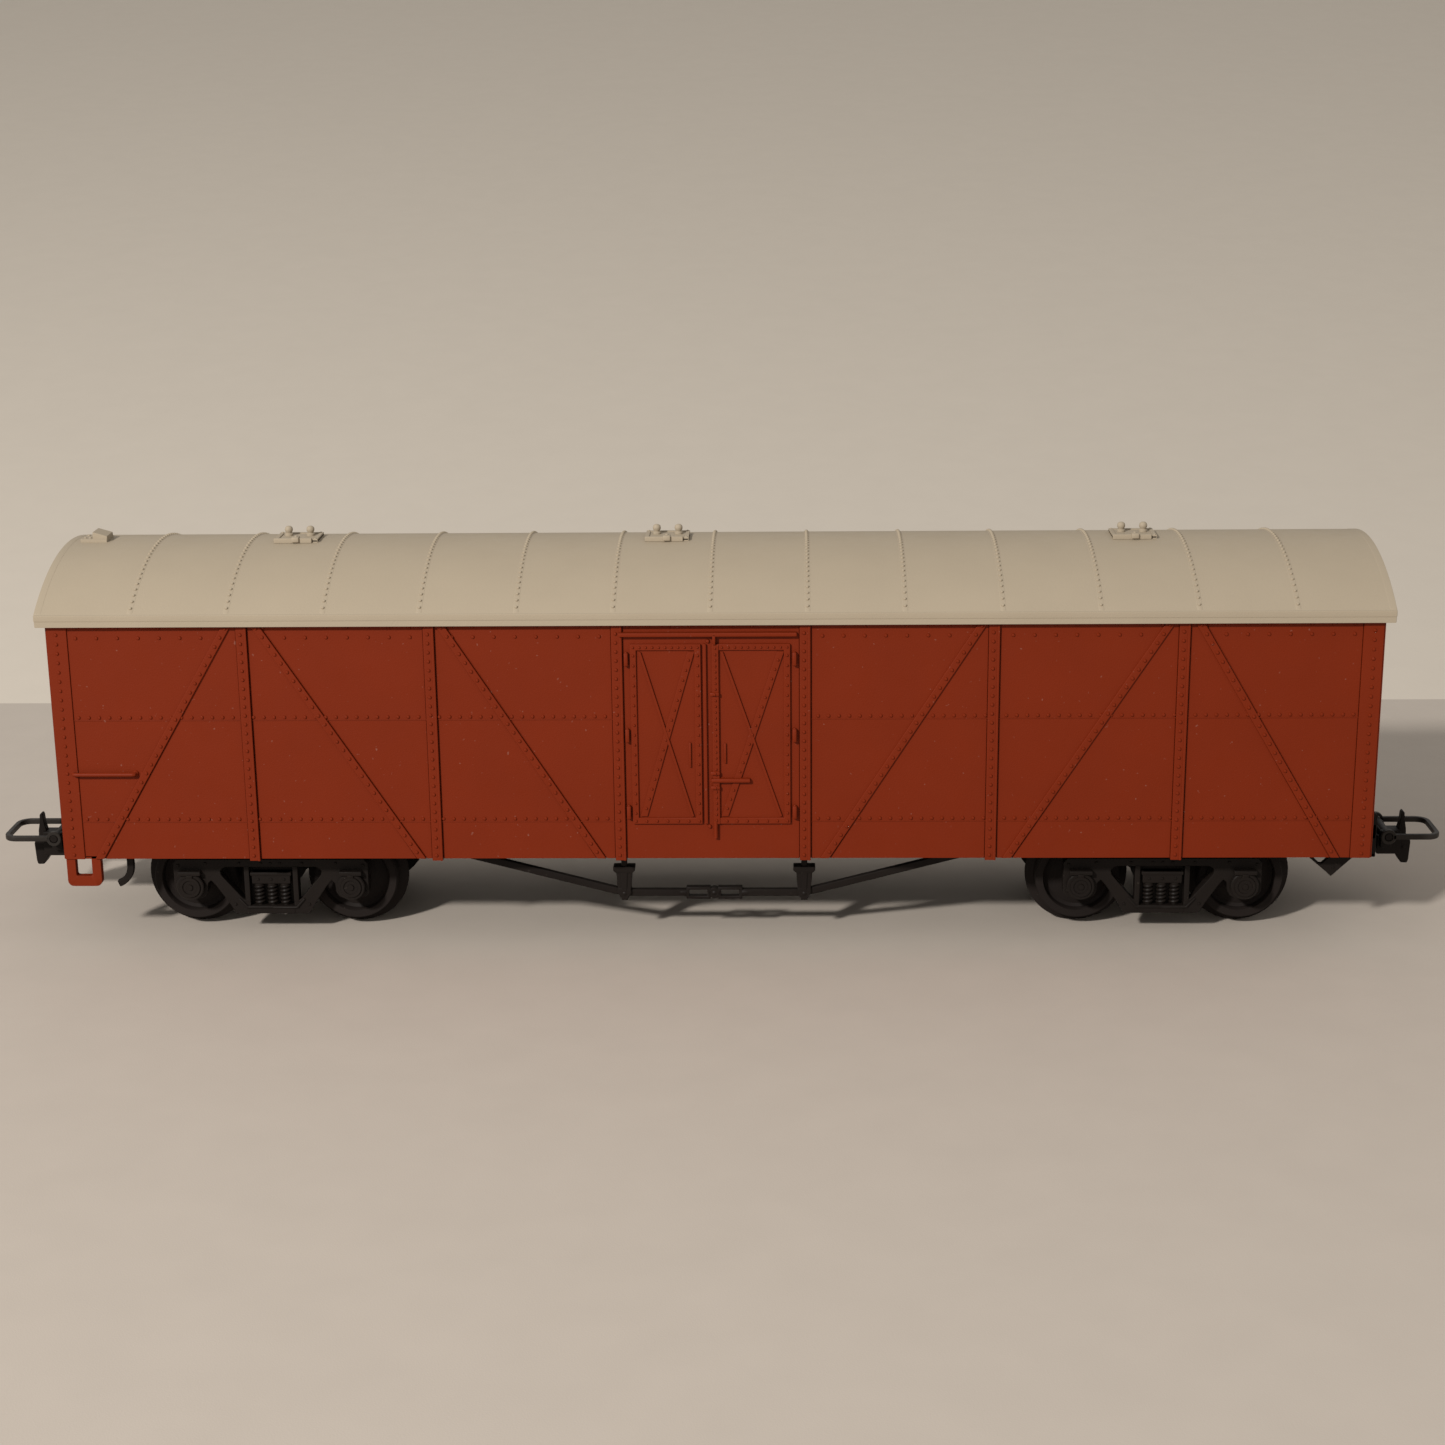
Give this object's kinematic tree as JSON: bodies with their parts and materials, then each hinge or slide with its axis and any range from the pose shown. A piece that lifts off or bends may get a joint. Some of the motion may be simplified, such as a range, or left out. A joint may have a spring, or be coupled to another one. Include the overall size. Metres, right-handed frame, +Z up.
{
  "type": "model railway box car",
  "caption": "Model railway box car: riveted red body, arched cream roof, truss rods, two swivelling four-wheel bogies and loop couplers.",
  "frame": {"origin": "under the middle of the car, level with the bottoms of the wheel flanges", "axes": "+X along the car, +Y across it away from the side in the picture, +Z up"},
  "size_m": [0.182, 0.0354, 0.049],
  "materials": {
    "red_plastic": "satin moulded plastic, oxide red",
    "cream_plastic": "satin moulded plastic, cream",
    "black_plastic": "satin moulded plastic, black",
    "wheel_plastic": "moulded wheels with a polished tread, black",
    "blackened_metal": "chemically blackened strip",
    "steel": "plain steel"
  },
  "bodies": {
    "car_body": {"body_shell": "red_plastic", "roof": "cream_plastic", "roof_hatch_1": "cream_plastic", "roof_hatch_2": "cream_plastic", "roof_hatch_3": "cream_plastic", "roof_bracket": "cream_plastic", "underframe": "black_plastic", "ballast_plate": "steel", "truss_rod_near": "black_plastic", "truss_rod_far": "black_plastic", "queen_posts": "black_plastic", "pipe_hook": "black_plastic", "guard_bracket": "black_plastic", "coupler_pins": "steel", "bogie_pins": "black_plastic", "coupler_a_pocket": "black_plastic", "coupler_b_pocket": "black_plastic"},
    "bogie_a": {"bogie_a_frame": "black_plastic"},
    "bogie_b": {"bogie_b_frame": "black_plastic"},
    "wheelset_1": {"axle_1": "steel", "wheel_1_near": "wheel_plastic", "wheel_1_far": "wheel_plastic"},
    "wheelset_2": {"axle_2": "steel", "wheel_2_near": "wheel_plastic", "wheel_2_far": "wheel_plastic"},
    "wheelset_3": {"axle_3": "steel", "wheel_3_near": "wheel_plastic", "wheel_3_far": "wheel_plastic"},
    "wheelset_4": {"axle_4": "steel", "wheel_4_near": "wheel_plastic", "wheel_4_far": "wheel_plastic"},
    "coupler_a": {"coupler_a_head": "black_plastic"},
    "loop_a": {"coupler_a_loop": "blackened_metal"},
    "coupler_b": {"coupler_b_head": "black_plastic"},
    "loop_b": {"coupler_b_loop": "blackened_metal"}
  },
  "joints": [
    {"name": "bogie_a_swivel", "type": "hinge", "parent": "car_body", "child": "bogie_a", "pos_m": [-0.0549, 0, 0.007], "axis": [0, 0, 1], "range_deg": [-12, 12]},
    {"name": "wheelset_1_spin", "type": "hinge", "parent": "bogie_a", "child": "wheelset_1", "pos_m": [-0.0649, 0, 0.00635], "axis": [0, 1, 0], "continuous": true},
    {"name": "wheelset_2_spin", "type": "hinge", "parent": "bogie_a", "child": "wheelset_2", "pos_m": [-0.0449, 0, 0.00635], "axis": [0, 1, 0], "continuous": true},
    {"name": "bogie_b_swivel", "type": "hinge", "parent": "car_body", "child": "bogie_b", "pos_m": [0.0549, 0, 0.007], "axis": [0, 0, 1], "range_deg": [-12, 12]},
    {"name": "wheelset_3_spin", "type": "hinge", "parent": "bogie_b", "child": "wheelset_3", "pos_m": [0.0449, 0, 0.00635], "axis": [0, 1, 0], "continuous": true},
    {"name": "wheelset_4_spin", "type": "hinge", "parent": "bogie_b", "child": "wheelset_4", "pos_m": [0.0649, 0, 0.00635], "axis": [0, 1, 0], "continuous": true},
    {"name": "coupler_a_swing", "type": "hinge", "parent": "car_body", "child": "coupler_a", "pos_m": [-0.076, 0, 0.00825], "axis": [0, 0, 1], "range_deg": [-12, 12]},
    {"name": "loop_a_lift", "type": "hinge", "parent": "coupler_a", "child": "loop_a", "pos_m": [-0.0844, 0, 0.0095], "axis": [0, 1, 0], "range_deg": [0, 30]},
    {"name": "coupler_b_swing", "type": "hinge", "parent": "car_body", "child": "coupler_b", "pos_m": [0.076, 0, 0.00825], "axis": [0, 0, 1], "range_deg": [-12, 12]},
    {"name": "loop_b_lift", "type": "hinge", "parent": "coupler_b", "child": "loop_b", "pos_m": [0.0844, 0, 0.0095], "axis": [0, -1, 0], "range_deg": [0, 30]}
  ]
}
